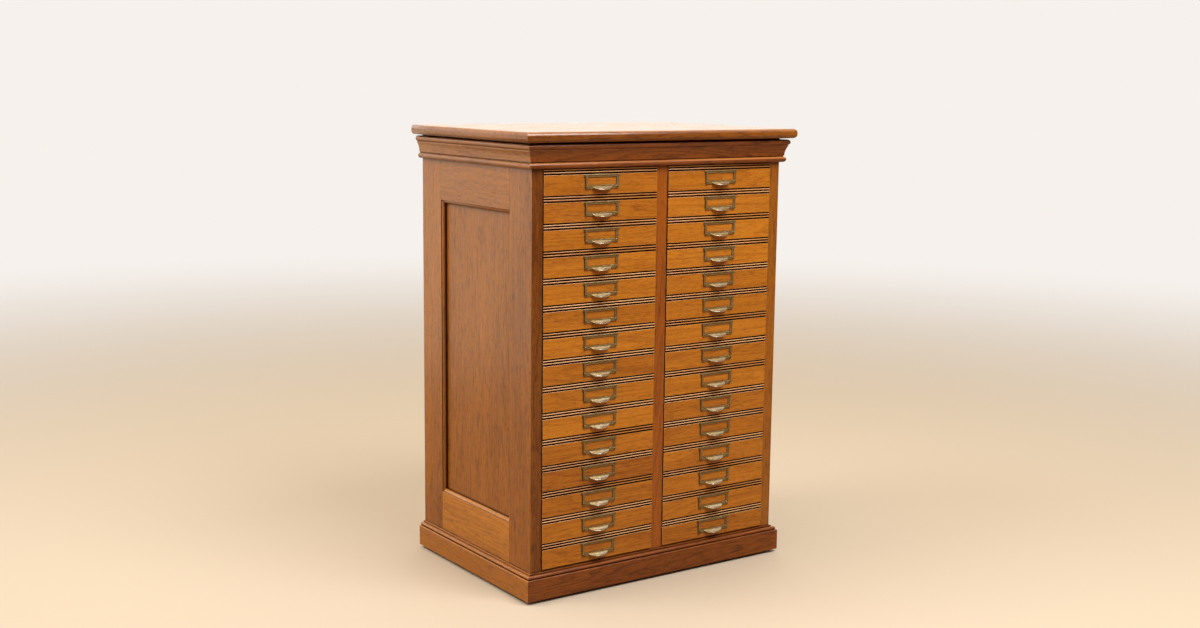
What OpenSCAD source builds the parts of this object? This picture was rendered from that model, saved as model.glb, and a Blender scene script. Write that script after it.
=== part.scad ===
// Oak filing cabinet with two columns of shallow drawers.
// Frame-and-panel sides, a moulded cornice under a nosed top board, and a moulded plinth.
// Every drawer hangs on wooden runners that lie in grooves in its sides.
// Millimetres. Origin on the floor, under the middle of the top board. The drawers open towards -Y.

/* [Case] */
// Width across the two side frames
case_w = 584; // [520:1:680]
// Depth from the face of the stiles to the back
case_d = 414; // [370:1:480]
// Thickness of a side frame
side_t = 23.5; // [21:0.5:28]
// Thickness of the middle frame between the columns
mid_t = 25; // [20:0.5:32]
// Width of a side stile, up to its moulded edge
stile_w = 76; // [60:1:90]
// Height of the upper side rail that shows under the cornice
top_rail_h = 79; // [50:1:100]
// Height of the lower side rail that shows above the plinth
bottom_rail_h = 79; // [50:1:100]
// Thickness of the panels in the frames
panel_t = 7; // [5:0.5:8]
// Depth of the side panels behind the face of their frame
panel_recess = 9; // [8:0.5:10]
// Width of the moulded edge around a side panel
edge_w = 7; // [5:0.5:7.5]
// Thickness of the back boards
back_t = 10; // [8:0.5:14]
// Number of back boards
back_count = 5; // [3:1:8]

/* [Top, cornice and plinth] */
// Thickness of the top board
slab_t = 19; // [17:0.5:25]
// Overhang of the top board at the front and the sides
slab_over = 25; // [20:0.5:35]
// Height of the cornice moulding
cornice_h = 45; // [42:0.5:60]
// Overhang of the cornice's upper bead
cornice_over = 15.5; // [14:0.5:19]
// Height of the shadow gap between the cornice and the top board
shadow_gap = 2.5; // [1:0.5:5]
// Height of the plinth
plinth_h = 50.5; // [44:0.5:70]
// Overhang of the plinth
plinth_over = 13; // [11:0.5:18]
// Height of the sill that shows between the plinth and the lowest drawers
sill_h = 1.5; // [0.5:0.5:6]
// Height of a floor glide
glide_h = 6; // [4:0.5:12]

/* [Drawers] */
// Number of rows
rows = 15; // [6:1:15]
// Distance from one row to the next
row_pitch = 50; // [48:0.5:60]
// Gap between a drawer front and the next one
row_gap = 1.8; // [1:0.1:3]
// Gap at each end of a drawer front
end_gap = 1; // [0.6:0.1:2]
// Thickness of a drawer front
front_t = 20; // [18:0.5:22]
// How far the fronts stand out from the stiles
front_proud = 2; // [0:0.5:4]
// Distance from one reed to the next on the top edge of a front
reed_pitch = 5; // [4.6:0.1:5.4]
// Radius of a reed
reed_r = 1.7; // [1.5:0.1:2.2]
// Depth of the grooves beside the reeds
reed_d = 3; // [2.4:0.1:4]
// Thickness of a drawer side
wall_t = 12; // [11:0.5:14]
// Height of a drawer side
wall_h = 39; // [36:0.5:40]
// Thickness of a drawer bottom
floor_t = 5; // [4:0.5:6]
// Height of a runner
runner_h = 9; // [7:0.5:10]
// Thickness of a runner
runner_t = 8; // [6:0.5:8]

/* [Pulls] */
// Width of the card frame
pull_w = 79; // [60:1:100]
// Height of the card frame
pull_h = 26.5; // [24:0.5:30]
// Thickness of the card frame's plate
pull_t = 1.6; // [1.2:0.1:2.5]
// How far the top bar runs past the side bars
pull_ear = 2.5; // [2:0.1:3.5]
// Width of the bars beside the card window
pull_bar = 4.5; // [4:0.1:7]
// Width of the finger lip
lip_w = 48; // [30:1:54]
// Reach of the finger lip
lip_out = 11; // [9:0.5:14]
// Drop of the finger lip
lip_drop = 6.5; // [5:0.5:9]

/* [Hidden] */
$fn = 64;
// Space left for glue between two pieces of one drawer
glue = 0.1;
// Play of a tongue in its groove
play = 0.2;
// Running clearance between a drawer and its runners
run = 0.3;
// Extra length that carries a cutter past a face
past = 1;
// Gap between the top row of fronts and the cornice
head_gap = 1;

// Heights
z_foot = glide_h;
z_plinth = z_foot + plinth_h;
z_grid = z_plinth + sill_h;
z_cornice = z_grid + rows * row_pitch + head_gap;
z_cornice_top = z_cornice + cornice_h;
z_slab = z_cornice_top + shadow_gap;
sub_top_t = 14;
z_frame_top = z_slab - sub_top_t;

// Depths, with the stiles' front face and the back
slab_d = case_d + slab_over;
y_face = slab_over - slab_d / 2;
y_back = slab_d / 2;
y_inner_back = y_back - back_t;

// Widths
half_w = case_w / 2;
clear_w = half_w - side_t;
col_w = clear_w - mid_t / 2;
col_x = (clear_w + mid_t / 2) / 2;

// Frame joints: tongues and panels share one groove
groove_d = 11;
tenon_d = 9;
end_room = 1;
tongue_l = groove_d - end_room;
tenon_l = tenon_d - end_room;
groove_w = panel_t + 2 * play;
mid_stile_w = 48;
rail_t = 22;
floor_board_t = 14;
step_d = 1.6;

// The side panel's opening, at the outer line of its moulded edge and inside it
open_y0 = y_face + stile_w;
open_y1 = y_back - stile_w;
open_z0 = z_plinth + bottom_rail_h;
open_z1 = z_cornice - top_rail_h;
in_y0 = open_y0 + edge_w;
in_y1 = open_y1 - edge_w;
in_z0 = open_z0 + edge_w;
in_z1 = open_z1 - edge_w;

// Drawer sizes, from the stiles' face, the middle of the column and the front's lower edge
front_w = col_w - 2 * end_gap;
front_h = row_pitch - row_gap;
front_back = front_t - front_proud;
quirk = 1;
reed_top = 0.3;
flat_h = front_h - 2 * reed_pitch - quirk;
wall_gap = 1.4;
wall_out = col_w / 2 - wall_gap;
wall_in = wall_out - wall_t;
wall_z = 3;
rear_gap = 4;
box_end = case_d - back_t - rear_gap;
box_back_t = 10;
floor_up = 4;
floor_z = wall_z + floor_up;
back_drop = 3;
floor_in = 4;
floor_front_in = 5;
hang_up = 2;
hang_z = wall_z + (wall_h - runner_h) / 2 + hang_up;
runner_y0 = front_back + run;
runner_short = 2;
runner_y1 = box_end - runner_short;
tail_l = 12;
tail_tip = 10;
tail_base = 6.5;
tail_inset = 7;

// Pull sizes
pull_down = 0.4;
pull_z = flat_h - pull_h - pull_down;
pull_low_corner = 2.5;
pull_top_corner = 1;
pull_top_bar = 5;
pull_low_bar = 6.5;
pull_rim = 1.8;
ear_r = 1;
pull_rim_t = 1;
boss_in = 0.4;
boss_r = 2.6;
lip_t = 1.6;
lip_in = 0.5;

// The lip's plan is a half-moon, and its section a hollow arc that ends nearly level
lip_arc = (pow(lip_w / 2, 2) + pow(lip_out, 2)) / (2 * lip_out);
lip_end = 8;
lip_start = 2 * atan(lip_drop / lip_out) - lip_end;
lip_r = norm([lip_out, lip_drop]) / (2 * sin((lip_start - lip_end) / 2));

oak_case = "#7d4520";
oak_side = "#9a6238";
oak_front = "#b87028";
oak_inner = "#c49a66";
brass = "#96874f";
steel = "#6b6b68";

columns = ["left", "right"];
function two_digits(n) = n < 10 ? str("0", n) : str(n);
function drawer_name(c, r) = str("drawer_", columns[c], "_", two_digits(r + 1));

// Shared shapes

// A box given by its two corners
module block(lo, hi) {
    translate(lo) cube(hi - lo);
}

// An outline in (depth, height) carried along X between two places
module along_x(x0, x1) {
    translate([x0, 0, 0]) rotate([90, 0, 90]) linear_extrude(x1 - x0) children();
}

// An outline in (x, height) carried along Y between two places
module along_y(y0, y1) {
    translate([0, y1, 0]) rotate([90, 0, 0]) linear_extrude(y1 - y0) children();
}

// The children on the right (s = 1) or mirrored to the left (s = -1)
module on_side(s) {
    mirror([s < 0 ? 1 : 0, 0, 0]) children();
}

// A bar outline whose near end is nosed, and its far end too if asked
module nosed_2d(len, t, r, both) {
    translate([r, 0]) square([len - r * (both ? 2 : 1), t]);
    translate([0, r]) square([len, t - 2 * r]);
    for (x = both ? [r, len - r] : [r], z = [r, t - r])
        translate([x, z]) circle(r);
}

// A rectangle with round corners, centred in x and standing on y = 0
module round_plate_2d(w, h, low_r, top_r) {
    translate([low_r - w / 2, 0]) square([w - 2 * low_r, h]);
    translate([-w / 2, low_r]) square([w, h - low_r - top_r]);
    translate([top_r - w / 2, low_r]) square([w - 2 * top_r, h - low_r]);
    for (s = [-1, 1]) {
        translate([s * (w / 2 - low_r), low_r]) circle(low_r);
        translate([s * (w / 2 - top_r), h - top_r]) circle(top_r);
    }
}

// Top

nose_r = 7.5;

module top_board() {
    color(oak_side) translate([0, 0, z_slab]) intersection() {
        along_x(-half_w - slab_over, half_w + slab_over)
            translate([-slab_d / 2, 0]) nosed_2d(slab_d, slab_t, nose_r, false);
        along_y(-slab_d / 2, slab_d / 2)
            translate([-half_w - slab_over, 0])
                nosed_2d(case_w + 2 * slab_over, slab_t, nose_r, true);
    }
}

module sub_top() {
    color(oak_case) block([-half_w, y_face, z_frame_top], [half_w, y_back, z_slab]);
}

// Cornice and plinth, in (overhang, height) from the face that they are glued to

bead_h = 11;
low_bead_over = 10;
frieze_over = 7;
fillet_h = 1.5;
cove_d = 5.5;
quirk_h = 1.6;
quirk_d = 1.6;

// A bead at the foot, a quirk, a tall cove, a fillet and the upper bead
module cornice_2d() {
    low_r = bead_h / 2;
    cove_z0 = bead_h + quirk_h;
    cove_z1 = cornice_h - bead_h - fillet_h;
    cove_r = (pow(cove_z1 - cove_z0, 2) + pow(cove_d, 2)) / (2 * cove_d);
    square([low_bead_over - low_r, bead_h]);
    translate([low_bead_over - low_r, low_r]) circle(low_r);
    square([frieze_over - quirk_d, cornice_h]);
    difference() {
        translate([0, cove_z0]) square([frieze_over + cove_d, cove_z1 - cove_z0]);
        translate([frieze_over + cove_r, cove_z0]) circle(cove_r);
    }
    translate([0, cove_z1]) square([frieze_over + cove_d, fillet_h]);
    translate([0, cornice_h - bead_h]) square([cornice_over - low_r, bead_h]);
    translate([cornice_over - low_r, cornice_h - low_r]) circle(low_r);
}

plinth_lip = 3;
plinth_lip_over = 3.5;
plinth_bead_r = 3.5;
plinth_step = 3;
plinth_sink = 0.5;
plinth_edge_r = 2;

// A flat face with an eased edge, and a bead that stands back from it under a low lip
module plinth_2d() {
    bead_x = plinth_over - plinth_step - plinth_bead_r;
    bead_top = plinth_h - plinth_lip;
    face_top = bead_top - 2 * plinth_bead_r + plinth_sink;
    square([plinth_over - plinth_edge_r, face_top]);
    square([plinth_over, face_top - plinth_edge_r]);
    translate([plinth_over - plinth_edge_r, face_top - plinth_edge_r]) circle(plinth_edge_r);
    square([bead_x, bead_top]);
    translate([bead_x, bead_top - plinth_bead_r]) circle(plinth_bead_r);
    square([plinth_lip_over, plinth_h]);
}

// The stretch of a moulding along the front, mitred at both ends
module front_moulding(z, h, over) {
    intersection() {
        translate([0, y_face, z]) mirror([0, 1, 0])
            along_x(-half_w - over, half_w + over) children();
        translate([0, 0, z - past]) linear_extrude(h + 2 * past)
            polygon([[-half_w, y_face], [half_w, y_face],
                     [half_w + over, y_face - over], [-half_w - over, y_face - over]]);
    }
}

// The stretch of a moulding along one side, mitred at the front and cut square at the back
module side_moulding(s, z, h, over) {
    on_side(s) intersection() {
        translate([half_w, 0, z]) along_y(y_face - over, y_back) children();
        translate([0, 0, z - past]) linear_extrude(h + 2 * past)
            polygon([[half_w, y_face], [half_w + over, y_face - over],
                     [half_w + over, y_back], [half_w, y_back]]);
    }
}

module cornice_front() {
    color(oak_case) front_moulding(z_cornice, cornice_h, cornice_over) cornice_2d();
}

module cornice_side(s) {
    color(oak_case) side_moulding(s, z_cornice, cornice_h, cornice_over) cornice_2d();
}

module plinth_front() {
    color(oak_case) front_moulding(z_foot, plinth_h, plinth_over) plinth_2d();
}

module plinth_side(s) {
    color(oak_case) side_moulding(s, z_foot, plinth_h, plinth_over) plinth_2d();
}

// Side frames, drawn on the right and mirrored to the left

// What the moulded edge takes away, in (distance from the inner edge, depth behind the face)
module edge_cut_2d() {
    r = edge_w - step_d;
    translate([-past, -past]) square([edge_w + past, step_d + past]);
    difference() {
        translate([-past, 0]) square([r + past, step_d + r]);
        translate([r, step_d + r]) circle(r);
    }
}

// The same cut turned to lie along an edge whose frame is on the upper or the lower hand
module edge_turned_2d(up) {
    mirror([0, up ? 0 : 1]) rotate(90) edge_cut_2d();
}

// The stretch of the moulded edge on a stile. The stile's own outline gives it its mitres.
module stile_edge_cut(rear) {
    translate([half_w, rear ? in_y1 : in_y0, open_z0])
        linear_extrude(open_z1 - open_z0) edge_turned_2d(rear);
}

// The stretch of the moulded edge on a rail
module rail_edge_cut(upper) {
    translate([half_w, 0, upper ? in_z1 : in_z0])
        along_y(open_y0, open_y1) edge_turned_2d(upper);
}

// The plane that tongues and panel share
groove_x0 = half_w - panel_recess - panel_t - play;
groove_x1 = half_w - panel_recess + play;
tongue_x0 = groove_x0 + play;
tongue_x1 = groove_x1 - play;

// A stile, narrower beside the rails, so that the moulded edges meet in a mitre
module side_stile(s, rear) {
    y_out = rear ? y_back : y_face;
    y_rail = rear ? open_y1 : open_y0;
    y_in = rear ? in_y1 : in_y0;
    y_groove = rear ? y_rail + tenon_d : y_rail - tenon_d;
    color(oak_side) on_side(s) difference() {
        along_x(clear_w, half_w)
            polygon([[y_out, z_foot], [y_rail, z_foot], [y_rail, open_z0], [y_in, in_z0],
                     [y_in, in_z1], [y_rail, open_z1], [y_rail, z_frame_top],
                     [y_out, z_frame_top]]);
        block([groove_x0, min(y_groove, y_in - past), z_foot - past],
              [groove_x1, max(y_groove, y_in + past), z_frame_top + past]);
        stile_edge_cut(rear);
    }
}

// A rail with a stub tenon at each end and a groove for the panel
module side_rail(s, upper) {
    z_out = upper ? z_frame_top : z_foot;
    z_rail = upper ? open_z1 : open_z0;
    z_in = upper ? in_z1 : in_z0;
    z_groove = upper ? z_in + groove_d : z_in - groove_d;
    color(oak_side) on_side(s) difference() {
        union() {
            along_x(clear_w, half_w)
                polygon([[open_y0, z_out], [open_y0, z_rail], [in_y0, z_in],
                         [in_y1, z_in], [open_y1, z_rail], [open_y1, z_out]]);
            block([tongue_x0, open_y0 - tenon_l, min(z_out, z_rail)],
                  [tongue_x1, open_y1 + tenon_l, max(z_out, z_rail)]);
        }
        block([groove_x0, open_y0 - groove_d, min(z_groove, z_in - past)],
              [groove_x1, open_y1 + groove_d, max(z_groove, z_in + past)]);
        rail_edge_cut(upper);
    }
}

module side_panel(s) {
    color(oak_side) on_side(s)
        block([tongue_x0, in_y0 - tongue_l, in_z0 - tongue_l],
              [tongue_x1, in_y1 + tongue_l, in_z1 + tongue_l]);
}

// Middle frame

module middle_stile(rear) {
    y0 = rear ? y_inner_back - mid_stile_w : y_face;
    z1 = rear ? z_frame_top : z_cornice;
    color(oak_case) difference() {
        block([-mid_t / 2, y0, z_grid], [mid_t / 2, y0 + mid_stile_w, z1]);
        block([-groove_w / 2, rear ? y0 - past : y0 + mid_stile_w - groove_d, z_grid - past],
              [groove_w / 2, rear ? y0 + groove_d : y0 + mid_stile_w + past, z1 + past]);
    }
}

module middle_panel() {
    color(oak_inner)
        block([-panel_t / 2, y_face + mid_stile_w - tongue_l, z_grid],
              [panel_t / 2, y_inner_back - mid_stile_w + tongue_l, z_cornice]);
}

// Rails, floor and back

module face_top_rail() {
    color(oak_case) block([-clear_w, y_face, z_cornice], [clear_w, y_face + rail_t, z_frame_top]);
}

module face_bottom_rail() {
    color(oak_case) block([-clear_w, y_face, z_foot], [clear_w, y_face + rail_t, z_grid]);
}

module floor_board() {
    color(oak_inner) block([-clear_w, y_face + rail_t, z_grid - floor_board_t],
                           [clear_w, y_inner_back, z_grid]);
}

module back_boards() {
    board_w = 2 * clear_w / back_count;
    seam = 0.4;
    color(oak_inner) for (i = [0:back_count - 1])
        block([-clear_w + i * board_w + (i > 0 ? seam : 0), y_inner_back, z_foot],
              [-clear_w + (i + 1) * board_w, y_back, z_frame_top]);
}

// Floor glides, one under each corner stile

glide_r = 10;
glide_foot_r = 7;

module floor_glides() {
    color(steel) for (sx = [-1, 1], y = [y_face + stile_w / 2, y_back - stile_w / 2])
        translate([sx * (half_w - side_t / 2), y, 0]) rotate_extrude()
            polygon([[0, 0], [glide_foot_r, 0], [glide_r, glide_h / 2], [glide_r, glide_h],
                     [0, glide_h]]);
}

// Drawers

// The lower edge of a row's fronts, with row 0 at the top
function row_z(r) = z_grid + (rows - 1 - r) * row_pitch + row_gap;

// A strip for every row on one wall of a column: c = 0 or 1, wall = -1 (left) or 1 (right)
module runners(c, wall) {
    x = (c == 0 ? -col_x : col_x) + wall * (col_w / 2 - runner_t / 2);
    color(oak_inner) for (r = [0:rows - 1])
        block([x - runner_t / 2, y_face + runner_y0, row_z(r) + hang_z],
              [x + runner_t / 2, y_face + runner_y1, row_z(r) + hang_z + runner_h]);
}

// The dovetails at the front end of a drawer side, grown all round by the glue space
module tails_2d(grow) {
    tip = front_back - tail_l - grow;
    for (z = [wall_z + tail_inset, wall_z + wall_h - tail_inset])
        polygon([[front_back + past, z - tail_base / 2 - grow],
                 [tip, z - tail_tip / 2 - grow],
                 [tip, z + tail_tip / 2 + grow],
                 [front_back + past, z + tail_base / 2 + grow]]);
}

// The front's section in (depth, height): a flat face with two reeds along the top edge
module front_2d() {
    translate([-front_proud, 0]) square([front_t, flat_h]);
    translate([reed_d - front_proud, 0]) square([front_t - reed_d, front_h]);
    for (i = [0, 1])
        translate([reed_r - front_proud, front_h - reed_top - reed_r - i * reed_pitch]) {
            circle(reed_r);
            translate([0, -reed_r]) square([reed_d, 2 * reed_r]);
        }
}

module drawer_front() {
    color(oak_front) difference() {
        along_x(-front_w / 2, front_w / 2) front_2d();
        for (s = [-1, 1]) on_side(s)
            along_x(wall_in - glue, col_w / 2) tails_2d(glue);
        block([-wall_in - floor_in - glue, front_back - floor_front_in - glue, floor_z - glue],
              [wall_in + floor_in + glue, front_back + past, floor_z + floor_t + glue]);
    }
}

module drawer_side(s) {
    color(oak_inner) on_side(s) difference() {
        along_x(wall_in, wall_out) {
            translate([front_back + glue, wall_z]) square([box_end - front_back - glue, wall_h]);
            tails_2d(0);
        }
        block([wall_out - runner_t + wall_gap - 2 * run, front_back - past, hang_z - run],
              [wall_out + past, box_end + past, hang_z + runner_h + run]);
        block([wall_in - past, front_back - floor_front_in - 2 * glue, floor_z - glue],
              [wall_in + floor_in + glue, box_end + past, floor_z + floor_t + glue]);
    }
}

module drawer_back() {
    color(oak_inner)
        block([glue - wall_in, box_end - box_back_t, floor_z + floor_t + glue],
              [wall_in - glue, box_end, wall_z + wall_h - back_drop]);
}

module drawer_floor() {
    color(oak_inner)
        block([-wall_in - floor_in, front_back - floor_front_in, floor_z],
              [wall_in + floor_in, box_end, floor_z + floor_t]);
}

// The finger lip's section in (reach, height)
module lip_2d() {
    from = [-sin(lip_start), -cos(lip_start)];
    to = [-sin(lip_end), -cos(lip_end)];
    translate(-lip_r * from) intersection() {
        difference() {
            circle(lip_r + lip_t);
            circle(lip_r);
        }
        polygon([[0, 0], 2 * lip_r * from, 2 * lip_r * to]);
    }
}

// The finger lip's plan, from the middle of the plate's thickness
module half_moon_2d() {
    intersection() {
        translate([0, lip_arc - lip_out]) circle(lip_arc);
        translate([-lip_w, -2 * lip_out]) square([2 * lip_w, 2 * lip_out - pull_t / 2]);
    }
}

// Card frame with two ears, a raised rim, two bosses at its foot and the half-moon lip
module drawer_pull() {
    lip_z = pull_z + pull_low_bar - lip_in;
    frame_w = pull_w - 2 * pull_ear;
    color(brass) translate([0, -front_proud - glue, 0]) {
        translate([0, 0, pull_z]) rotate([90, 0, 0]) {
            linear_extrude(pull_t) difference() {
                union() {
                    round_plate_2d(frame_w, pull_h, pull_low_corner, pull_top_corner);
                    translate([0, pull_h - pull_top_bar])
                        round_plate_2d(pull_w, pull_top_bar, ear_r, ear_r);
                }
                translate([pull_bar - frame_w / 2, pull_low_bar])
                    square([frame_w - 2 * pull_bar, pull_h - pull_low_bar - pull_top_bar]);
            }
            linear_extrude(pull_t + pull_rim_t) {
                difference() {
                    round_plate_2d(frame_w, pull_h, pull_low_corner, pull_top_corner);
                    translate([0, -past])
                        round_plate_2d(frame_w - 2 * pull_rim, pull_h + past - pull_rim,
                                       pull_low_corner, pull_top_corner);
                }
                for (s = [-1, 1])
                    translate([s * (frame_w / 2 - boss_r - boss_in), boss_r + boss_in])
                        circle(boss_r);
            }
        }
        intersection() {
            translate([0, 0, lip_z]) mirror([0, 1, 0]) along_x(-lip_w / 2, lip_w / 2) lip_2d();
            translate([0, 0, lip_z - 2 * lip_drop]) linear_extrude(3 * lip_drop) half_moon_2d();
        }
    }
}

module drawer(c, r) {
    translate([c == 0 ? -col_x : col_x, y_face, row_z(r)]) {
        drawer_front();
        for (s = [-1, 1]) drawer_side(s);
        drawer_back();
        drawer_floor();
        drawer_pull();
    }
}

top_board();
sub_top();
cornice_front();
cornice_side(-1);  // cornice_left
cornice_side(1);  // cornice_right
plinth_front();
plinth_side(-1);  // plinth_left
plinth_side(1);  // plinth_right
side_stile(-1, false);  // left_front_stile
side_stile(-1, true);  // left_rear_stile
side_rail(-1, true);  // left_top_rail
side_rail(-1, false);  // left_bottom_rail
side_panel(-1);  // left_panel
side_stile(1, false);  // right_front_stile
side_stile(1, true);  // right_rear_stile
side_rail(1, true);  // right_top_rail
side_rail(1, false);  // right_bottom_rail
side_panel(1);  // right_panel
middle_stile(false);  // middle_front_stile
middle_stile(true);  // middle_rear_stile
middle_panel();
face_top_rail();
face_bottom_rail();
floor_board();
back_boards();
runners(0, -1);  // runners_left_outer
runners(0, 1);  // runners_left_inner
runners(1, -1);  // runners_right_inner
runners(1, 1);  // runners_right_outer
floor_glides();
for (c = [0, 1], r = [0:rows - 1])
    drawer(c, r);
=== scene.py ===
# %% [markdown]
# # An oak filing cabinet with thirty shallow drawers
# The real object is a floor-standing cabinet: stained oak frames, a moulded cornice and plinth,
# and two columns of drawers with brass card-frame pulls. The imported CAD model already holds every
# board and every slide, so this lesson only dresses it. We load it first. Nothing that we add may
# grow beyond it. All lengths are in metres.

# %% Load the imported cabinet
import math
import random

import bmesh
import bpy
import numpy as np
from mathutils import Matrix, Vector


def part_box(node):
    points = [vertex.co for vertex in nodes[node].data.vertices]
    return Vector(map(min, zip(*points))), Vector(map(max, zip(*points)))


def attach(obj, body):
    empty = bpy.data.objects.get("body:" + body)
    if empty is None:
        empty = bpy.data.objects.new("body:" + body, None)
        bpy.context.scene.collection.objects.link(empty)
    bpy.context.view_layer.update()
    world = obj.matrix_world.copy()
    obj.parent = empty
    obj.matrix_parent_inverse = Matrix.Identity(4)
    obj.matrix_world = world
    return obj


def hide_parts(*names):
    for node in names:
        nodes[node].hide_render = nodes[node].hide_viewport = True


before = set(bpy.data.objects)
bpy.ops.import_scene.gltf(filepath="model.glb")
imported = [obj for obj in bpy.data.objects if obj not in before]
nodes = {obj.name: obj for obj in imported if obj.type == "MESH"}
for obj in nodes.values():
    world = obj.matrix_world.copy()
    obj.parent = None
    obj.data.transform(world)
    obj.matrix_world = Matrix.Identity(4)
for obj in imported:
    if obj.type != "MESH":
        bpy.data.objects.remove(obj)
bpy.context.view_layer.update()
MM = 0.001
X, Y, Z = 0, 1, 2

# %% [markdown]
# ## Small helpers for shader nodes
# Wood and brass are woven from many nodes. A material could be clicked together by hand, but in a
# script a short helper reads better: it makes a node, sets its options, and then fills each input
# with either a plain value or a link from another node's output.

# %% Helpers that add shader nodes
def new_material(name):
    material = bpy.data.materials.new(name)
    material.use_nodes = True
    tree = material.node_tree
    return material, tree, tree.nodes["Principled BSDF"]


def add(tree, kind, inputs=None, **options):
    made = tree.nodes.new("ShaderNode" + kind)
    for option, value in options.items():
        setattr(made, option, value)
    for place, value in (inputs or {}).items():
        if isinstance(value, bpy.types.NodeSocket):
            tree.links.new(value, made.inputs[place])
        else:
            made.inputs[place].default_value = value
    return made


def attribute(tree, name, output="Fac"):
    return add(tree, "Attribute", attribute_name=name).outputs[output]


def reckon(tree, what, a, b=0.0, c=0.0):
    return add(tree, "Math", {0: a, 1: b, 2: c}, operation=what).outputs[0]


def within_one(tree, value):
    return reckon(tree, "MAXIMUM", reckon(tree, "MINIMUM", value, 1.0), 0.0)


def between(tree, value, low, high, to_low=0.0, to_high=1.0):
    spread = {"Value": value, "From Min": low, "From Max": high, "To Min": to_low, "To Max": to_high}
    return add(tree, "MapRange", spread, interpolation_type="SMOOTHSTEP").outputs[0]


print("node helpers ready")

# %% Helpers for colours and noise
def rgb(red, green, blue):
    def linear(v):
        v /= 255
        return v / 12.92 if v <= 0.04045 else ((v + 0.055) / 1.055) ** 2.4
    return (linear(red), linear(green), linear(blue), 1.0)


def darker(colour, share):
    return tuple(share * v for v in colour[:3]) + (1.0,)


def blend_colour(tree, share, a, b):
    return add(tree, "Mix", {0: share, 6: a, 7: b}, data_type="RGBA").outputs[2]


def speckle(tree, place, waves, detail=2.0, rough=0.5, twist=0.0):
    moved = add(tree, "Mapping", {"Vector": place, "Scale": waves}).outputs[0]
    size = {"Vector": moved, "Scale": 1.0, "Detail": detail, "Roughness": rough, "Distortion": twist}
    return add(tree, "TexNoise", size).outputs[0]


def sway(tree, base, noise, reach):
    return reckon(tree, "MULTIPLY_ADD", reckon(tree, "SUBTRACT", noise, 0.5), reach, base)


print("colour and noise helpers ready")

# %% [markdown]
# ## Oak
# Oak shows four things at once: growth rings that draw long flames along the board, dark open
# pores like short pencil strokes, pale flecks where the rays are cut, and a slow drift of colour.
# An image texture would repeat on thirty drawers. Noise stretched along each board's own grain
# never repeats, so every board gets a "grain" attribute (metres along, across and through the
# board) and a "tone" attribute, and one recipe serves all the finishes. Each noise is given by its
# waves per metre in those three directions, and a range says which part of it shows. The varnish is
# a thin coat. Grime and painted shade darken the hollows, either where the shader's occlusion finds
# them or where an attribute says so, and there the varnish is dulled too. The arrises are rubbed
# paler where hands and dusters pass, and the same pale colour paints a highlight on the crests of the reeds
# and of a bead.

# %% The oak recipe
RING_WAVES, RINGS, LATE_WOOD = (1.6, 21, 21), 13.0, (0.35, 1.0)
STREAK_WAVES, STREAK_SHARE = (5, 340, 340), 0.7
DRIFT_WAVES, DRIFT_SHARE = (2.5, 9, 9), 0.8
PORE_WAVES, PORE_RANGE, PORE_STAIN = (75, 1500, 1500), (0.56, 0.70), 0.42
FLECK_WAVES, FLECK_RANGE = (52, 290, 290), (0.50, 0.66)
CLOUD_WAVES, CLOUD_RANGE = (14, 40, 40), (0.3, 0.7)
# Occlusion paints grime and shade together into the hollows
GRIME_AND_SHADE_REACH, GRIME_AND_SHADE_RANGE = 5 * MM, (0.3, 0.92, 0.9, 0.0)
# Patches of wear on the arrises and of painted highlight on the crests
WEAR_AND_HIGHLIGHT_RANGE = (0.38, 0.62, 0.15, 0.75)


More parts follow.
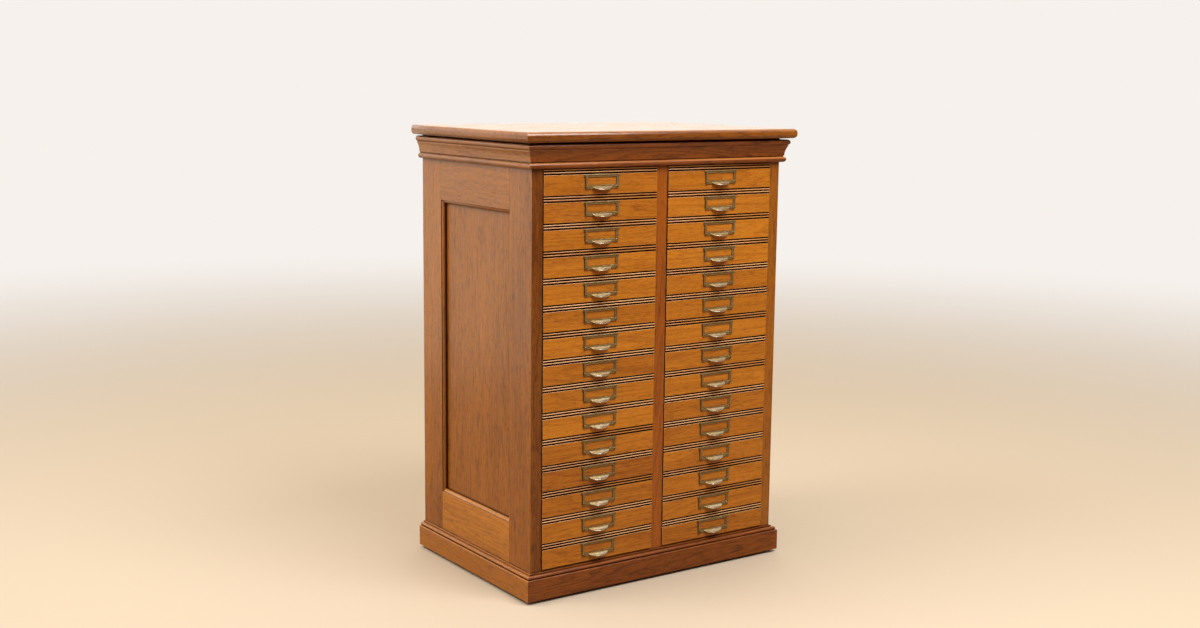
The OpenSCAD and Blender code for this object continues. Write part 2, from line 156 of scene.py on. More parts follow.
def oak(name, pale, deep, pore, wear_and_highlight_colour, flames, flecks, gloss, coat, pore_depth=0.18 * MM):
    material, tree, surface = new_material(name)
    grain = attribute(tree, "grain", "Vector")
    hill = speckle(tree, grain, RING_WAVES, detail=1.5, twist=0.25)
    late = between(tree, reckon(tree, "FRACT", reckon(tree, "MULTIPLY", hill, RINGS)), *LATE_WOOD)
    streak = speckle(tree, grain, STREAK_WAVES, detail=3, rough=0.6)
    drift = speckle(tree, grain, DRIFT_WAVES, detail=2)
    pores = between(tree, speckle(tree, grain, PORE_WAVES, detail=1), *PORE_RANGE)
    fleck = between(tree, speckle(tree, grain, FLECK_WAVES, detail=2, rough=0.6), *FLECK_RANGE)

    # How deep the stain took: rings, streaks, drift and flecks together, then the board's own tone
    depth = reckon(tree, "MULTIPLY", late, flames)
    depth = sway(tree, sway(tree, depth, streak, STREAK_SHARE), drift, DRIFT_SHARE)
    depth = reckon(tree, "MULTIPLY_ADD", fleck, flecks, depth)
    own_tone = reckon(tree, "MULTIPLY_ADD", attribute(tree, "tone"), -0.5, 0.25)
    colour = blend_colour(tree, within_one(tree, reckon(tree, "ADD", depth, own_tone)), pale, deep)
    colour = blend_colour(tree, reckon(tree, "MULTIPLY", pores, PORE_STAIN), colour, pore)

    # Grime and painted shade in the hollows, then wear on the arrises and painted highlights on the crests
    # over it
    hollow = add(tree, "AmbientOcclusion", {"Distance": GRIME_AND_SHADE_REACH}, samples=6).outputs["AO"]
    hollow_grime_and_shade = between(tree, hollow, *GRIME_AND_SHADE_RANGE)
    grime_and_shade = reckon(tree, "MAXIMUM", hollow_grime_and_shade, attribute(tree, "settled"))
    colour = blend_colour(tree, grime_and_shade, colour, darker(pore, 0.35))
    patchy = between(tree, drift, *WEAR_AND_HIGHLIGHT_RANGE)
    wear_and_highlight = reckon(tree, "MULTIPLY", attribute(tree, "edge"), patchy)
    tree.links.new(blend_colour(tree, wear_and_highlight, colour, wear_and_highlight_colour), surface.inputs["Base Color"])

    # Varnish: a cloudy gloss that the dark hollows dull, and open pores in relief
    cloudy = speckle(tree, grain, CLOUD_WAVES, detail=3)
    rough = between(tree, cloudy, *CLOUD_RANGE, gloss - 0.05, gloss + 0.07)
    tree.links.new(reckon(tree, "MULTIPLY_ADD", pores, 0.16, rough), surface.inputs["Roughness"])
    relief = reckon(tree, "MULTIPLY_ADD", pores, -1.0, reckon(tree, "MULTIPLY", late, -0.25))
    bump = add(tree, "Bump", {"Strength": 0.55, "Distance": pore_depth, "Height": relief})
    tree.links.new(bump.outputs[0], surface.inputs["Normal"])
    shine = reckon(tree, "MULTIPLY_ADD", grime_and_shade, -0.45, 0.5)
    tree.links.new(shine, surface.inputs["Specular IOR Level"])
    varnish = reckon(tree, "MULTIPLY_ADD", grime_and_shade, -coat, coat)
    tree.links.new(varnish, surface.inputs["Coat Weight"])
    surface.inputs["Coat Roughness"].default_value = 0.2
    return material


print("oak recipe ready")

# %% The oak finishes
finishes = {
    "oak_case": oak("case_oak", rgb(176, 92, 18), rgb(92, 38, 4), rgb(48, 18, 3), rgb(186, 110, 40),
                    flames=0.26, flecks=0.26, gloss=0.33, coat=0.5),
    "oak_side": oak("side_oak", rgb(180, 106, 20), rgb(106, 48, 4), rgb(56, 25, 4), rgb(184, 120, 50),
                    flames=0.2, flecks=0.36, gloss=0.32, coat=0.6),
    "oak_rail": oak("rail_oak", rgb(208, 130, 32), rgb(146, 80, 12), rgb(80, 38, 6), rgb(206, 146, 70),
                    flames=0.3, flecks=0.3, gloss=0.32, coat=0.6),
    "oak_front": oak("front_oak", rgb(216, 134, 32), rgb(150, 76, 8), rgb(84, 34, 6),
                     rgb(246, 192, 136), flames=0.24, flecks=0.24, gloss=0.33, coat=0.35,
                     pore_depth=0.15 * MM),
    "oak_inner": oak("inner_oak", rgb(206, 168, 116), rgb(160, 118, 70), rgb(112, 80, 48),
                     rgb(214, 184, 140), flames=0.34, flecks=0.2, gloss=0.58, coat=0.0,
                     pore_depth=0.2 * MM),
}
print("oak finishes:", ", ".join(finishes))

# %% [markdown]
# ## Boards with eased arrises
# A CAD board has knife-sharp corners and a skin of loose triangles. A joiner breaks every arris
# with a stroke of sandpaper, and that thin rounded line is what catches the light. We copy the
# node's mesh, weld it, dissolve the flat triangles into whole faces, and bevel the outward corners.
# A bevel modifier on the CAD node could do the same, but a mesh of our own can also carry the
# grain. A corner beside a face too narrow for the bevel stays sharp, and so can the many-sided cut
# ends of a moulding. Narrow faces are shaded smooth, so mouldings look planed in one stroke while
# the flats stay flat.

# %% Copying a board and easing its arrises
WELD = 0.002 * MM
FLAT, SHARP, CREASE = math.radians(0.4), math.radians(40), math.radians(48)
END_SIDES = 12


def open_mesh(mesh):
    bm = bmesh.new()
    bm.from_mesh(mesh)
    return bm


def close_mesh(bm, name):
    mesh = bpy.data.meshes.new(name)
    bm.to_mesh(mesh)
    bm.free()
    return mesh


def room(edge):
    ends = [vert.co for vert in edge.verts]
    along = (ends[1] - ends[0]).normalized()
    return min(max((vert.co - ends[0]).cross(along).length for vert in face.verts)
               for face in edge.link_faces)


def ease(bm, arris, steps=2, spare_ends=False):
    bmesh.ops.remove_doubles(bm, verts=bm.verts[:], dist=WELD)
    bmesh.ops.dissolve_limit(bm, angle_limit=FLAT, verts=bm.verts[:], edges=bm.edges[:],
                             use_dissolve_boundaries=False)
    edge = bm.faces.layers.float.new("edge")
    corners = [e for e in bm.edges if e.is_manifold and e.calc_face_angle_signed(0) > SHARP
               and room(e) > arris]
    if spare_ends:
        corners = [e for e in corners if max(len(f.verts) for f in e.link_faces) <= END_SIDES]
    made = bmesh.ops.bevel(bm, geom=corners, offset=arris, offset_type="OFFSET", segments=steps,
                           profile=0.5, affect="EDGES", clamp_overlap=False, loop_slide=True)
    for face in made["faces"]:
        face[edge] = 1.0


def shade(bm, narrow=2.5 * MM):
    for face in bm.faces:
        longest = max(e.calc_length() for e in face.edges)
        face.smooth = face.calc_area() / longest < narrow
    for e in bm.edges:
        e.smooth = not e.is_manifold or e.calc_face_angle(0) < CREASE


print("arris helpers ready")

# %% [markdown]
# ## Grain that follows each board
# Every loose solid in a mesh is one board, and its grain runs along its longest side unless we say
# otherwise. We write the board's own coordinates on each face corner and shift them by a random
# but seeded distance, so that no two boards are cut from the same place in the tree. A wide top or
# panel is glued up from several boards, so it can be cut along glue lines first.

# %% Telling boards apart
def islands(mesh):
    start = list(range(len(mesh.vertices)))

    def root(v):
        while start[v] != v:
            start[v] = start[start[v]]
            v = start[v]
        return v
    for a, b in mesh.edge_keys:
        start[root(a)] = root(b)
    return np.array([root(v) for v in range(len(mesh.vertices))])


def vertex_places(mesh):
    return np.array([v.co[:] for v in mesh.vertices])


def write_points(mesh, name, values):
    mesh.attributes.new(name, "FLOAT", "POINT").data.foreach_set("value", values)


def cut_along(bm, axis, places):
    for place in places:
        spot, facing = [0, 0, 0], [0, 0, 0]
        spot[axis], facing[axis] = place, 1
        bmesh.ops.bisect_plane(bm, geom=bm.verts[:] + bm.edges[:] + bm.faces[:], dist=1e-7,
                               plane_co=spot, plane_no=facing)


print("board helpers ready")

# %% Laying the grain
LOG_LENGTH = 9


def lay_grain(mesh, seed, axis=None, tone=0.0, spread=0.12, glue_axis=None, glue_lines=()):
    chance = random.Random(seed)
    places = vertex_places(mesh)
    loop_vertex = np.array([loop.vertex_index for loop in mesh.loops])
    counts = np.array([p.loop_total for p in mesh.polygons])
    middles = np.array([p.center[:] for p in mesh.polygons])
    face_island = islands(mesh)[np.array([p.vertices[0] for p in mesh.polygons])]
    loop_face = np.repeat(np.arange(len(counts)), counts)
    strip = np.zeros(len(counts), int)
    if glue_axis is not None:
        strip = np.searchsorted(np.array(glue_lines), middles[:, glue_axis])
    grain = np.zeros((len(mesh.loops), 3))
    face_tone = np.zeros(len(counts))
    for island in sorted(set(face_island), key=lambda i: tuple(np.round(places[i], 5))):
        inside = face_island == island
        own = places[loop_vertex[inside[loop_face]]]
        along = axis if axis is not None else int(np.argmax(own.max(0) - own.min(0)))
        across = [k for k in (X, Y, Z) if k != along]
        for board in range(len(glue_lines) + 1):
            faces = inside & (strip == board)
            corners = faces[loop_face]
            shift = [chance.uniform(0, LOG_LENGTH) for _ in (X, Y, Z)]
            grain[corners] = places[loop_vertex[corners]][:, [along] + across] + shift
            face_tone[faces] = tone + chance.uniform(-spread, spread)
    mesh.attributes.new("grain", "FLOAT_VECTOR", "CORNER").data.foreach_set("vector", grain.ravel())
    mesh.attributes.new("tone", "FLOAT", "FACE").data.foreach_set("value", face_tone)


def set_piece(name, mesh, material, body, stands_for=None):
    piece = bpy.data.objects.new(name, mesh)
    bpy.context.scene.collection.objects.link(piece)
    mesh.materials.clear()
    mesh.materials.append(material)
    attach(piece, body)
    if stands_for:
        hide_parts(stands_for)


print("grain helpers ready")

# %% [markdown]
# ## The case
# The carcass is a set of flat boards and lengths of moulding. Stiles stand up, rails lie along the
# depth, the cornice and plinth run around three sides, and the back is a row of upright boards.
# Each one is copied from its node with its own arris and its own shade of the stain: the lower
# left rail was cut from a paler board. Painted shade darkens the left stile's front and the top board's
# edges, and the right stile's front is painted a touch paler.
# One colour for all of them would be quicker, but then the joints between boards would vanish.

# %% The case's boards: slot, arris in millimetres, direction of the grain, tone
boards = {
    "top_board": ("oak_side", 0.7, X, 0.05), "sub_top": ("oak_case", 0.4, X, 0.0),
    "cornice_front": ("oak_case", 0.4, X, -0.3), "cornice_left": ("oak_case", 0.4, Y, 0.0),
    "cornice_right": ("oak_case", 0.4, Y, -0.2), "plinth_front": ("oak_case", 0.4, X, -0.4),
    "plinth_left": ("oak_case", 0.4, Y, 0.6), "plinth_right": ("oak_case", 0.4, Y, 0.1),
    "left_front_stile": ("oak_side", 0.5, Z, 0.0), "left_rear_stile": ("oak_side", 0.5, Z, 0.05),
    "left_top_rail": ("oak_side", 0.4, Y, 0.05), "left_bottom_rail": ("oak_side", 0.4, Y, 0.1),
    "left_panel": ("oak_side", 0.3, Z, 0.0), "right_front_stile": ("oak_side", 0.5, Z, 0.1),
    "right_rear_stile": ("oak_side", 0.5, Z, 0.0), "right_top_rail": ("oak_side", 0.4, Y, 0.0),
    "right_bottom_rail": ("oak_side", 0.4, Y, 0.3), "right_panel": ("oak_side", 0.3, Z, 0.0),
    "middle_front_stile": ("oak_case", 0.5, Z, 0.35), "middle_rear_stile": ("oak_case", 0.5, Z, 0.0),
    "middle_panel": ("oak_inner", 0.3, Z, 0.0), "face_top_rail": ("oak_case", 0.4, X, 0.0),
    "face_bottom_rail": ("oak_case", 0.4, X, 0.0), "floor_board": ("oak_inner", 0.4, X, 0.0),
    "back_boards": ("oak_inner", 0.8, Z, -0.1),
    "runners_left_outer": ("oak_inner", 0.5, Y, 0.1), "runners_left_inner": ("oak_inner", 0.5, Y, 0.1),
    "runners_right_inner": ("oak_inner", 0.5, Y, 0.1), "runners_right_outer": ("oak_inner", 0.5, Y, 0.1),
}
other_board = {"cornice_left": "oak_side", "plinth_left": "oak_side", "left_bottom_rail": "oak_rail"}
# Painted shade on faces that look forward: the left stile's front and the top board's edges darker, the
# right stile's front a touch paler
front_face_shade = {"left_front_stile": -0.75, "right_front_stile": 0.05, "top_board": -0.4}
panel_seam = -0.100
glued = {
    "top_board": [-0.092, 0.037, 0.145],
    "left_panel": [panel_seam], "right_panel": [panel_seam, 0.06],
}
TONE_SPREAD, BACK_SPREAD = 0.06, 0.3
print("boards to make:", len(boards), "of them glued up:", len(glued))

# %% [markdown]
# ## Where dirt settles and shade is painted
# A century of polish and dust leaves dark lines where a cloth can't reach, and the same lines are
# painted shade: at the foot of the moulded edge around each side panel, beside the drawer openings,
# and in the seams of the back. The shader finds wide hollows by itself, but these lines are narrower
# than it can see. So we pick the vertices that lie in such corners and write how dark they are
# painted. The lower bead of the cornice's front gets a painted highlight along its upper faces.

# %% Dark lines of dirt and painted shade in the corners, and a painted highlight on a bead
# How dark the lines of dirt and painted shade are, and how pale the painted highlight on crests is
CORNER_DIRT_AND_SHADE, CREST_HIGHLIGHT = 0.85, 1.3
EDGE_W, EDGE_DEEP = 7 * MM, 10 * MM
STEP_W, STEP_D = 0.5 * MM, 1.6 * MM
OUTER_W, OPENING_DEEP = 5 * MM, 0.8 * MM
LINE_W, BEAD_H = 0.3 * MM, 11 * MM
panel_low, panel_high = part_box("left_panel")
panel_middle = (panel_low + panel_high) / 2
left_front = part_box("left_front_stile")
case_edge = -left_front[0].x


def moulding_dirt_and_shade(places, axis):
    deep = np.abs(places[:, X]).max() - np.abs(places[:, X])
    inner = {Y: Z, Z: Y}[axis]
    across = places[:, inner] - panel_middle[inner]
    inward = np.abs(across) - np.abs(across).min()
    at_step = (np.abs(inward - EDGE_W) < STEP_W) & (np.abs(deep - STEP_D) < LINE_W)
    at_panel = (inward < LINE_W) & (deep < EDGE_DEEP)
    return at_step | at_panel


def opening_dirt_and_shade(places):
    low, high = places.min(0), places.max(0)
    at_side = np.minimum(places[:, X] - low[X], high[X] - places[:, X]) < LINE_W
    outer = np.abs(places[:, X]) > case_edge - OUTER_W
    return at_side & ~outer & (places[:, Y] - low[Y] < OPENING_DEEP)


def seam_dirt_and_shade(places, marks):
    dirt_and_shade = np.zeros(len(places), bool)
    for mark in set(marks):
        x = places[marks == mark, X]
        dirt_and_shade[marks == mark] = np.minimum(x - x.min(), x.max() - x) < LINE_W
    return dirt_and_shade


def board_dirt_and_shade(node, mesh, axis):
    places = vertex_places(mesh)
    dirt_and_shade = np.zeros(len(places), bool)
    side, part = node.split("_", 1)
    if side in ("left", "right") and part.endswith(("stile", "rail")):
        dirt_and_shade |= moulding_dirt_and_shade(places, axis)
    if part == "front_stile":
        dirt_and_shade |= opening_dirt_and_shade(places)
    if node == "back_boards":
        dirt_and_shade |= seam_dirt_and_shade(places, islands(mesh))
    return np.where(dirt_and_shade, CORNER_DIRT_AND_SHADE, 0.0)


# Painted highlight: the upward front faces of the lower bead get the pale arris colour
def highlight_bead(mesh, foot):
    wear_and_highlight = mesh.attributes["edge"].data
    for face in mesh.polygons:
        if face.center.z < foot + BEAD_H and face.normal.z > 0.35 and face.normal.y < -0.2:
            wear_and_highlight[face.index].value = CREST_HIGHLIGHT


print("dirt helpers ready, panel middle at", [round(v, 3) for v in panel_middle])

# %% Making the boards
SEAM_W, SEAM_DEEP = 0.6 * MM, 0.5 * MM
seams = {"left_panel": (panel_low.x, 1), "right_panel": (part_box("right_panel")[1].x, -1)}


def sink_seams(bm, node):
    outer, inward = seams[node]
    cut_along(bm, Y, [y + s * SEAM_W for y in glued[node] for s in (-1, 1)])
    for v in bm.verts:
        if abs(v.co.x - outer) < 1e-6 and min(abs(v.co.y - y) for y in glued[node]) < 1e-6:
            v.co.x += inward * SEAM_DEEP


# Paints shade on forward faces, and on the top board's side edges
def shade_front_faces(mesh, node):
    tones = mesh.attributes["tone"].data
    for face in mesh.polygons:
        if face.normal.y < -0.6 or (node == "top_board" and abs(face.normal.x) > 0.5):
            tones[face.index].value += front_face_shade[node]


for node, (slot, arris, axis, tone) in boards.items():
    bm = open_mesh(nodes[node].data)
    ease(bm, arris * MM, spare_ends=node.startswith(("cornice", "plinth")))
    glue_lines = glued.get(node, [])
    cut_along(bm, Y, glue_lines)
    if node in seams:
        sink_seams(bm, node)
    shade(bm)
    mesh = close_mesh(bm, node + "_oak")
    spread = BACK_SPREAD if node == "back_boards" else TONE_SPREAD
    lay_grain(mesh, node, axis, tone, spread, Y if glue_lines else None, glue_lines)
    # dark lines of dirt and painted shade at mouldings, openings and seams
    write_points(mesh, "settled", board_dirt_and_shade(node, mesh, axis))
    if node in front_face_shade:
        shade_front_faces(mesh, node)
    # the cornice's lower bead gets a painted highlight
    if node == "cornice_front":
        highlight_bead(mesh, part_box(node)[0].z)
    set_piece(node + "_oak", mesh, finishes[other_board.get(node, slot)], "cabinet", node)
print("case boards:", len(boards))

# %% [markdown]
# ## Aged brass
# The pulls are stamped brass. Where nobody touches them they have gone a dull olive brown, and the
# finger lip is rubbed bright by a century of use, with a painted highlight leaning right of the middle.
# Two brasses could be painted by hand, but an attribute, written on each vertex from its distance to
# the drawer front, fades one into the other, and below zero it fades into a dark colour that stands
# for dirt and painted shade, on the plate's foot by the wood and on the pins. Noise makes the tarnish
# patchy, and the hollows keep the dark dirt.

# %% The brass recipe
PATCH_WAVES, PATCH_SHARE = (160, 160, 160), 0.8
PIT_WAVES, PIT_RANGE = (1400, 1400, 1400), (0.55, 0.75, 0.0, 0.3)
HOLLOW_REACH, HOLLOW_RANGE = 3 * MM, (0.3, 0.9, 0.75, 0.0)
# The dark colour below zero stands for dirt and painted shade
ARRIS_RUB, MOST_DIRT_AND_SHADE = 0.22, 0.85
TARNISHED, BARE, DIRTY_AND_SHADED = rgb(150, 120, 66), rgb(252, 246, 224), rgb(40, 28, 15)
PITTED, IN_HOLLOWS = rgb(70, 58, 36), rgb(46, 36, 22)


def aged_brass(name):
    material, tree, surface = new_material(name)
    place, rub = attribute(tree, "grain", "Vector"), attribute(tree, "rub")
    patch = speckle(tree, place, PATCH_WAVES, detail=4, rough=0.6)
    pits = speckle(tree, place, PIT_WAVES, detail=2)
    bare_and_highlight = reckon(tree, "MULTIPLY_ADD", attribute(tree, "edge"), ARRIS_RUB, rub)
    bare_and_highlight = within_one(tree, sway(tree, bare_and_highlight, patch, PATCH_SHARE))
    colour = blend_colour(tree, bare_and_highlight, TARNISHED, BARE)
    # Below zero: dirt and painted shade on the plate's foot beside the wood and on the pins
    dirt_and_shade = reckon(tree, "MAXIMUM", reckon(tree, "MULTIPLY", rub, -1.0), 0.0)
    colour = blend_colour(tree, reckon(tree, "MINIMUM", dirt_and_shade, MOST_DIRT_AND_SHADE), colour, DIRTY_AND_SHADED)
    colour = blend_colour(tree, between(tree, pits, *PIT_RANGE), colour, PITTED)
    hollow = add(tree, "AmbientOcclusion", {"Distance": HOLLOW_REACH}, samples=6).outputs["AO"]
    colour = blend_colour(tree, between(tree, hollow, *HOLLOW_RANGE), colour, IN_HOLLOWS)
    tree.links.new(colour, surface.inputs["Base Color"])
    tree.links.new(between(tree, bare_and_highlight, 0.0, 1.0, 0.46, 0.24), surface.inputs["Roughness"])
    tree.links.new(between(tree, bare_and_highlight, 0.0, 0.6, 0.5, 1.0), surface.inputs["Metallic"])
    bump = add(tree, "Bump", {"Strength": 0.3, "Distance": 0.1 * MM, "Height": patch})
    tree.links.new(bump.outputs[0], surface.inputs["Normal"])
    return material


brass = aged_brass("pull_brass")
print("brass:", brass.name)

# %% [markdown]
# ## One drawer, taken apart
# All the drawers are alike, so we take one apart into its solids and dress those once: the front
# with its two reeds, the box of sides, back and bottom, and the pull. The parts are told apart by
# where they lie. The pull also gets its four round-headed pins, small lathe-turned domes, which are
# too small for the CAD model: two in the upper corners of the card frame and two in its bosses.

# %% The pattern drawer
FRONT_PROUD = 2 * MM
TOUCH = 0.05 * MM
pattern = "drawer_left_01"
pattern_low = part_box(pattern)[0]
front_plane = left_front[0].y - FRONT_PROUD
whole = open_mesh(nodes[pattern].data)
bmesh.ops.remove_doubles(whole, verts=whole.verts[:], dist=WELD)
solid = close_mesh(whole, "pattern_solid")
solid_places, marks = vertex_places(solid), islands(solid)
parts = {"front": bmesh.new(), "box": bmesh.new(), "pull": bmesh.new()}
for mark in sorted(set(marks)):
    depths = solid_places[marks == mark, Y]
    if depths.max() < front_plane + TOUCH:
        kind = "pull"
    elif depths.min() < front_plane + TOUCH:
        kind = "front"
    else:
        kind = "box"
    made = {v: parts[kind].verts.new(solid_places[v]) for v in np.flatnonzero(marks == mark)}
    for polygon in solid.polygons:
        if polygon.vertices[0] in made:
            parts[kind].faces.new([made[v] for v in polygon.vertices])
print({kind: len(bm.verts) for kind, bm in parts.items()}, "vertices in the pattern drawer")

# %% A lathe for pins and nails
def turn_pin(bm, spot, radius, height, around=12, rings=4):
    middle = bm.verts.new(spot + Vector((0, -height, 0)))
    made, previous = [middle], None
    for k in range(1, rings + 1):
        angle = math.pi / 2 * k / rings
        out, up = radius * math.sin(angle), height * math.cos(angle)
        turns = [2 * math.pi * n / around for n in range(around)]
        loop = [bm.verts.new(spot + Vector((out * math.cos(t), -up, out * math.sin(t)))) for t in turns]
        for n in range(around):
            m = (n + 1) % around
            if previous is None:
                bm.faces.new((middle, loop[n], loop[m]))
            else:
                bm.faces.new((previous[n], loop[n], loop[m], previous[m]))
        made += loop
        previous = loop
    bm.faces.new(previous[::-1])
    return made


print("lathe ready")

# %% Pins for the card frame: inward and down from an upper corner, radius, height of their seat
PULL_ARRIS, PIN_H = 0.3 * MM, 0.75 * MM
PLATE_T, BOSS_T = 1.55 * MM, 2.55 * MM
pins = ((1.5 * MM, 2.5 * MM, 1.3 * MM, PLATE_T), (5.5 * MM, 23.5 * MM, 1.5 * MM, BOSS_T))
pull_places = np.array([v.co[:] for v in parts["pull"].verts])
pull_low, pull_high = pull_places.min(0), pull_places.max(0)
pull_middle = (pull_low[X] + pull_high[X]) / 2
half_pull = (pull_high[X] - pull_low[X]) / 2
ease(parts["pull"], PULL_ARRIS)
is_pin = parts["pull"].verts.layers.float.new("pin")
for side in (-1, 1):
    for inward, down, radius, seat in pins:
        spot = Vector((pull_middle + side * (half_pull - inward), pull_high[Y] - seat, pull_high[Z] - down))
        for v in turn_pin(parts["pull"], spot, radius, PIN_H):
            v[is_pin] = 1.0
bmesh.ops.recalc_face_normals(parts["pull"], faces=parts["pull"].faces[:])
pull_reach = round((front_plane - pull_low[Y]) / MM, 1)
print("pull:", round(2 * half_pull / MM), "mm wide, reaches", pull_reach, "mm")

# %% [markdown]
# ## Thirty drawers
# The pattern is copied to every drawer's own place. The stain on the fronts is the warmest on the
# cabinet, and each front took it a little differently: some boards stay pale and golden, others go
# a deeper brown. Only the paler and the deeper ones are named here, and chance gives the rest a
# shade in between. Dirt and painted shade darken the grooves beside the reeds and the rim of each
# front, while the crests of the reeds get a painted highlight. Some drawers were opened more than
# others, so every lip gets its own seeded share of wear, and a painted highlight that leans to the
# right of the middle.

# %% Dirt, painted shade and painted highlight on a front
CREST_D, FADE_D, DIRT_AND_SHADE_D = 0.2 * MM, 0.3 * MM, 4 * MM
CREST_LIMIT, REED_ZONE = 0.42 * MM, 11 * MM
RIM_DIRT_AND_SHADE = 0.95


def front_dirt_shade_and_highlight(mesh):
    places = vertex_places(mesh)
    low, high = places.min(0), places.max(0)
    depth = places[:, Y] - front_plane
    settled = np.clip((depth - CREST_D) / FADE_D, 0, 1)
    rim = np.minimum(places[:, X] - low[X], high[X] - places[:, X])
    rim = np.minimum(rim, places[:, Z] - low[Z])
    settled = np.maximum(settled, RIM_DIRT_AND_SHADE * (rim < LINE_W)) * (depth < DIRT_AND_SHADE_D)
    write_points(mesh, "settled", settled)
    wear_and_highlight = mesh.attributes["edge"].data
    for face in mesh.polygons:
        crest = face.center.z > high[Z] - REED_ZONE and face.center.y < front_plane + CREST_LIMIT
        if crest and face.normal.z > -0.2:
            wear_and_highlight[face.index].value = CREST_HIGHLIGHT


print("reeds: dirt starts", round(CREST_D / MM, 2), "mm behind their crests")

# %% Wear, painted highlight and painted shade on a lip
HALF_LIP = 24 * MM
LIP_ROOT, LIP_FADE = 2 * MM, 2.6 * MM
PLATE_DIRT_AND_SHADE, PLATE_FADE = 1.3 * MM, 0.6 * MM
WEAR_SHARE, HIGHLIGHT_LEAN = (0.65, 1.1), (0.1, 0.5)
# Pins are painted dark, for tarnish and shade
PIN_TARNISH_AND_SHADE = -0.7


def lip_wear_and_light(mesh, node):
    places = vertex_places(mesh)
    reach, side = front_plane - places[:, Y], places[:, X]
    side = (side - (side.min() + side.max()) / 2) / HALF_LIP
    hands = random.Random(node)
    # The bright share leans right of the middle as a painted highlight
    used, highlight_lean = hands.uniform(*WEAR_SHARE), hands.uniform(*HIGHLIGHT_LEAN)
    along = np.clip(1.2 - 1.5 * (side - highlight_lean) ** 2, 0, 1.1)
    rub = used * np.clip((reach - LIP_ROOT) / LIP_FADE, 0, 1) * along
    rub -= np.clip((PLATE_DIRT_AND_SHADE - reach) / PLATE_FADE, 0, 1)
    pin = np.array([mark.value for mark in mesh.attributes["pin"].data])
    write_points(mesh, "rub", np.where(pin > 0.5, PIN_TARNISH_AND_SHADE, rub))


print("lips:", round(2 * HALF_LIP / MM), "mm wide")

# %% Dressing the drawers
paler = {"left_05", "left_07", "left_10", "right_03", "right_04"}
deeper = {"left_02", "left_03", "left_08", "left_12", "left_13", "left_15", "right_01", "right_11"}
PALER, DEEPER, USUAL, FRONT_SPREAD = 0.4, -0.3, 0.05, 0.15
FRONT_ARRIS, BOX_ARRIS = 0.45 * MM, 0.4 * MM
ease(parts["front"], FRONT_ARRIS)
ease(parts["box"], BOX_ARRIS)
pattern_mesh = {}
for kind, bm in parts.items():
    shade(bm)
    pattern_mesh[kind] = close_mesh(bm, "pattern_" + kind)
drawers = sorted(n for n in nodes if n.startswith("drawer_"))
for node in drawers:
    shift = Matrix.Translation(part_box(node)[0] - pattern_low)
    where = node.replace("drawer_", "")
    tone = PALER if where in paler else DEEPER if where in deeper else USUAL
    own = {}
    for kind in parts:
        own[kind] = pattern_mesh[kind].copy()
        own[kind].name = node + "_" + kind
        own[kind].transform(shift)
    lay_grain(own["front"], node + "_front", X, tone, FRONT_SPREAD)
    lay_grain(own["box"], node + "_box")
    lay_grain(own["pull"], node + "_pull")
    front_dirt_shade_and_highlight(own["front"])
    lip_wear_and_light(own["pull"], node)
    set_piece(node + "_front", own["front"], finishes["oak_front"], node, node)
    set_piece(node + "_box", own["box"], finishes["oak_inner"], node)
    set_piece(node + "_pull", own["pull"], brass, node)
print("drawers dressed:", len(drawers))

# %% [markdown]
# ## Iron nails and steel glides
# The back boards are nailed at their heads, middles and feet, and each nail is sunk in a small
# square hole. Small fasteners like these stay out of the CAD model, so they are turned here with
# the same lathe as the pins. The holes could be a boolean cut, but insetting a square face leaves a
# cleaner mesh. The glides under the corners are steel buttons.
# Noise squeezed in height gives both metals their dull patches.

# %% The steel recipe
STEEL_WAVES = (260, 260, 700)


def dull_steel(name, colour, dark, rough):
    material, tree, surface = new_material(name)
    place = add(tree, "TexCoord").outputs["Object"]
    patch = speckle(tree, place, STEEL_WAVES, detail=4, rough=0.6)
    colour = blend_colour(tree, between(tree, patch, 0.4, 0.65), colour, dark)
    tree.links.new(colour, surface.inputs["Base Color"])
    tree.links.new(between(tree, patch, 0.3, 0.7, rough - 0.08, rough + 0.14), surface.inputs["Roughness"])
    bump = add(tree, "Bump", {"Strength": 0.25, "Distance": 0.1 * MM, "Height": patch})
    tree.links.new(bump.outputs[0], surface.inputs["Normal"])
    surface.inputs["Metallic"].default_value = 0.9
    return material


iron = dull_steel("nail_iron", rgb(92, 84, 78), rgb(58, 46, 38), 0.55)
steel = dull_steel("glide_steel", rgb(150, 149, 146), rgb(104, 100, 96), 0.38)
print("metals:", iron.name, steel.name)

# %% Square holes in the back boards
HALF_HOLE, HOLE_DEEP, HOLE_SLOPE = 2.6 * MM, 0.7 * MM, 0.3 * MM
FOOT_NAIL, HEAD_NAIL, CLOSE = 30 * MM, 16 * MM, 0.1 * MM
back_low, back_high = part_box("back_boards")
back_mesh = bpy.data.objects["back_boards_oak"].data
back_count = len(set(islands(back_mesh)))
board_w = (back_high.x - back_low.x) / back_count
nail_x = [back_low.x + (n + part) * board_w for n in range(back_count) for part in (0.25, 0.75)]
nail_z = [back_low.z + FOOT_NAIL, (back_low.z + back_high.z) / 2, back_high.z - HEAD_NAIL]


def at_nail(face):
    spot = face.calc_center_median()
    off_x, off_z = min(abs(spot.x - x) for x in nail_x), min(abs(spot.z - z) for z in nail_z)
    return face.normal.y > 0.9 and max(off_x, off_z) < CLOSE


bm = open_mesh(back_mesh)
cut_along(bm, X, [x + s * HALF_HOLE for x in nail_x for s in (-1, 1)])
cut_along(bm, Z, [z + s * HALF_HOLE for z in nail_z for s in (-1, 1)])
holes = [face for face in bm.faces if at_nail(face)]
bmesh.ops.inset_individual(bm, faces=holes, thickness=HOLE_SLOPE, depth=-HOLE_DEEP)
print("nail holes:", len(holes), "in", back_count, "boards")
bm.to_mesh(back_mesh)
bm.free()

